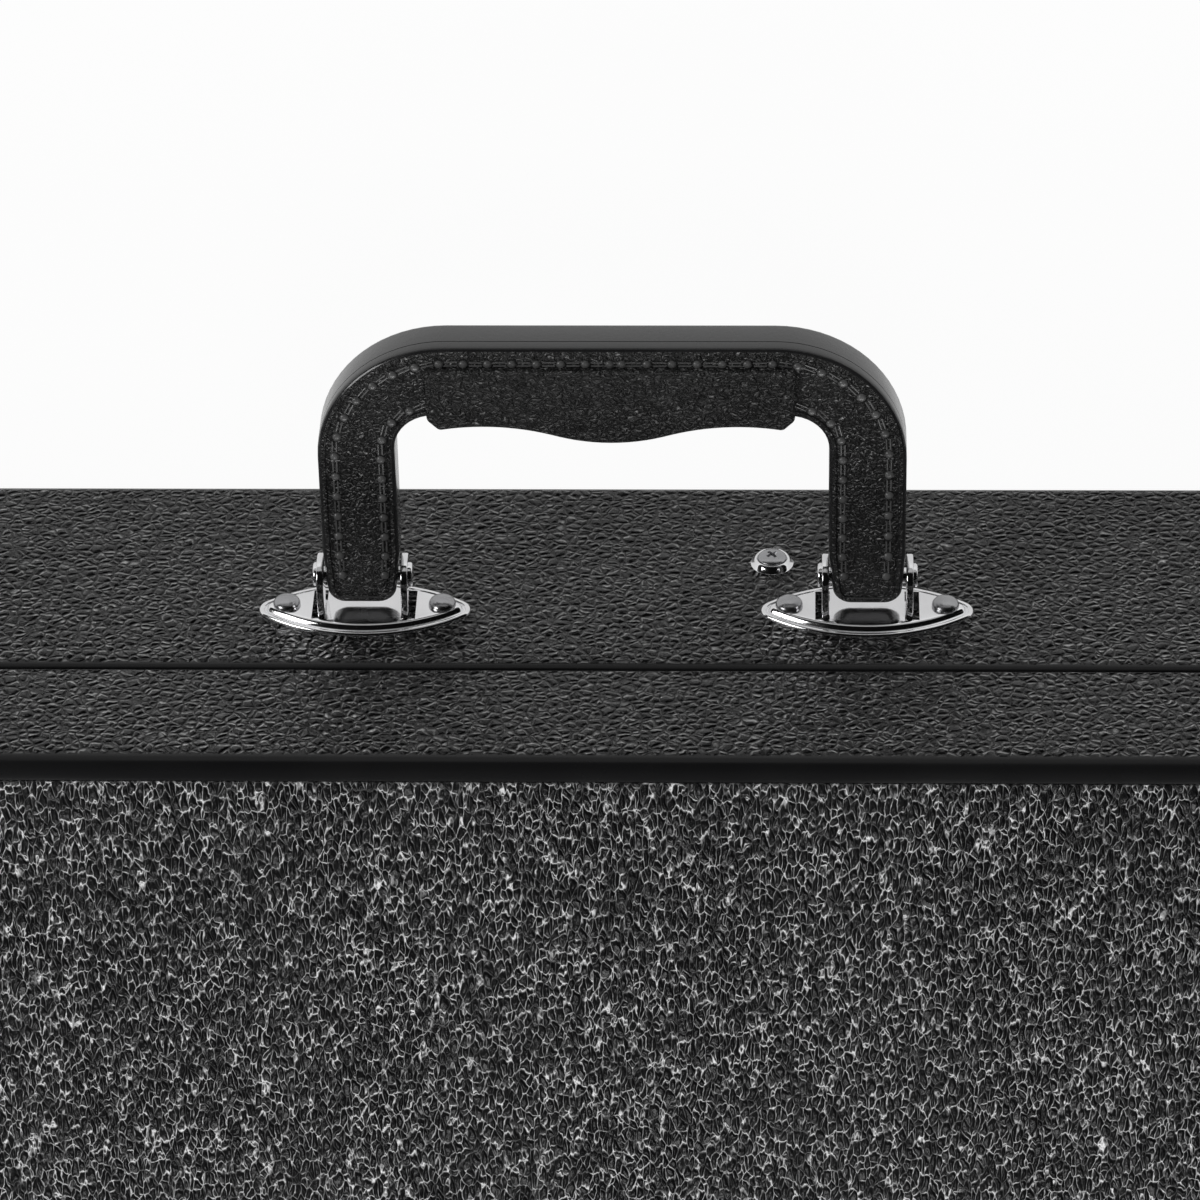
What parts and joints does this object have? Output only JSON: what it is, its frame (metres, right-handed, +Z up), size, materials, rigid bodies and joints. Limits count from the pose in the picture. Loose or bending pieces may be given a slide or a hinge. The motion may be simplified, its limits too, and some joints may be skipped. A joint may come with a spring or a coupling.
{
  "type": "bass guitar case",
  "caption": "Long rectangular hard case for a bass guitar, black grained vinyl over plywood, with a swinging handle, hinged lid and toggle latches.",
  "frame": {"origin": "centre of the face that the case rests on when it lies on its back", "axes": "+X along the case towards the body end, -Y out of the side with the handle, +Y out of the spine with the hinges, +Z up through the lid"},
  "size_m": [1.2, 0.4835, 0.125],
  "materials": {
    "vinyl_side": "black grained vinyl",
    "vinyl_face": "black fine-grained vinyl",
    "plywood": "bare poplar plywood",
    "pile_lining": "short black pile",
    "padded_pile": "pile over foam",
    "handle_leather": "black grained, stitched",
    "grip_rubber": "black moulded, fine grain",
    "chrome_plate": "bright plated steel",
    "plain_steel": "plated steel",
    "lock_brass": "turned"
  },
  "bodies": {
    "base": {"base_handle_board": "plywood", "base_spine_board": "plywood", "base_end_boards": "plywood", "base_corner_posts": "plywood", "back_panel": "plywood", "base_side_covering": "vinyl_side", "back_covering": "vinyl_face", "long_lip_strips": "plywood", "end_lip_strips": "plywood", "floor_lining": "pile_lining", "wall_lining": "pile_lining", "cross_partition": "pile_lining", "long_partition": "pile_lining", "neck_cradle": "padded_pile", "neck_bolster": "padded_pile", "spine_waist_bolster": "padded_pile", "handle_waist_bolster": "padded_pile", "tail_bolster": "padded_pile", "handle_plate_left": "chrome_plate", "handle_plate_right": "chrome_plate", "handle_yoke_left": "plain_steel", "handle_yoke_right": "plain_steel", "handle_pins": "plain_steel", "handle_rivets": "chrome_plate", "partition_screw": "chrome_plate", "partition_cup_washer": "chrome_plate", "latch_plates": "chrome_plate", "latch_rivets": "chrome_plate", "hinge_base_leaves": "chrome_plate", "hinge_base_rivets": "chrome_plate", "hinge_pins": "plain_steel", "base_feet": "chrome_plate"},
    "lid": {"lid_handle_board": "plywood", "lid_spine_board": "plywood", "lid_end_boards": "plywood", "lid_corner_posts": "plywood", "lid_panel": "plywood", "lid_side_covering": "vinyl_side", "lid_face_covering": "vinyl_face", "lid_lining": "pile_lining", "lid_pad": "padded_pile", "latch_keepers": "chrome_plate", "keeper_rivets": "chrome_plate", "hinge_lid_leaves": "chrome_plate", "hinge_lid_rivets": "chrome_plate", "lid_feet": "chrome_plate"},
    "handle": {"handle_bow": "handle_leather", "handle_grip": "grip_rubber"},
    "lock": {"lock_cylinder": "lock_brass"},
    "latch_1_lever": {"latch_lever_1": "chrome_plate"},
    "latch_1_claw": {"latch_claw_1": "plain_steel"},
    "latch_2_lever": {"latch_lever_2": "chrome_plate"},
    "latch_2_claw": {"latch_claw_2": "plain_steel"},
    "latch_3_lever": {"latch_lever_3": "chrome_plate"},
    "latch_3_claw": {"latch_claw_3": "plain_steel"},
    "latch_4_lever": {"latch_lever_4": "chrome_plate"},
    "latch_4_claw": {"latch_claw_4": "plain_steel"}
  },
  "joints": [
    {"name": "lid_hinge", "type": "hinge", "parent": "base", "child": "lid", "pos_m": [0, 0.1982, 0.085], "axis": [-1, 0, 0], "range_deg": [0, 100]},
    {"name": "handle_swing", "type": "hinge", "parent": "base", "child": "handle", "pos_m": [0, -0.207, 0.0605], "axis": [-1, 0, 0], "range_deg": [-50, 88]},
    {"name": "latch_1_lever_turn", "type": "hinge", "parent": "base", "child": "latch_1_lever", "pos_m": [-0.5, -0.2005, 0.075], "axis": [1, 0, 0], "range_deg": [0, 100]},
    {"name": "latch_1_claw_turn", "type": "hinge", "parent": "latch_1_lever", "child": "latch_1_claw", "pos_m": [-0.5, -0.20962, 0.07509], "axis": [1, 0, 0], "range_deg": [-130, 0]},
    {"name": "latch_2_lever_turn", "type": "hinge", "parent": "base", "child": "latch_2_lever", "pos_m": [-0.2, -0.2005, 0.075], "axis": [1, 0, 0], "range_deg": [0, 100]},
    {"name": "latch_2_claw_turn", "type": "hinge", "parent": "latch_2_lever", "child": "latch_2_claw", "pos_m": [-0.2, -0.20962, 0.07509], "axis": [1, 0, 0], "range_deg": [-130, 0]},
    {"name": "latch_3_lever_turn", "type": "hinge", "parent": "base", "child": "latch_3_lever", "pos_m": [0.2, -0.2005, 0.075], "axis": [1, 0, 0], "range_deg": [0, 100]},
    {"name": "latch_3_claw_turn", "type": "hinge", "parent": "latch_3_lever", "child": "latch_3_claw", "pos_m": [0.2, -0.20962, 0.07509], "axis": [1, 0, 0], "range_deg": [-130, 0]},
    {"name": "latch_4_lever_turn", "type": "hinge", "parent": "base", "child": "latch_4_lever", "pos_m": [0.5, -0.2005, 0.075], "axis": [1, 0, 0], "range_deg": [0, 100]},
    {"name": "latch_4_claw_turn", "type": "hinge", "parent": "latch_4_lever", "child": "latch_4_claw", "pos_m": [0.5, -0.20962, 0.07509], "axis": [1, 0, 0], "range_deg": [-130, 0]},
    {"name": "lock_turn", "type": "hinge", "parent": "latch_2_lever", "child": "lock", "pos_m": [-0.2, -0.22167, 0.07873], "axis": [0, 0.1736, 0.9848], "range_deg": [0, 90]}
  ],
  "couplings": [
    {"joint": "latch_1_claw_turn", "follows": "latch_1_lever_turn", "ratio": -1.3},
    {"joint": "latch_2_claw_turn", "follows": "latch_2_lever_turn", "ratio": -1.3},
    {"joint": "latch_3_claw_turn", "follows": "latch_3_lever_turn", "ratio": -1.3},
    {"joint": "latch_4_claw_turn", "follows": "latch_4_lever_turn", "ratio": -1.3}
  ]
}
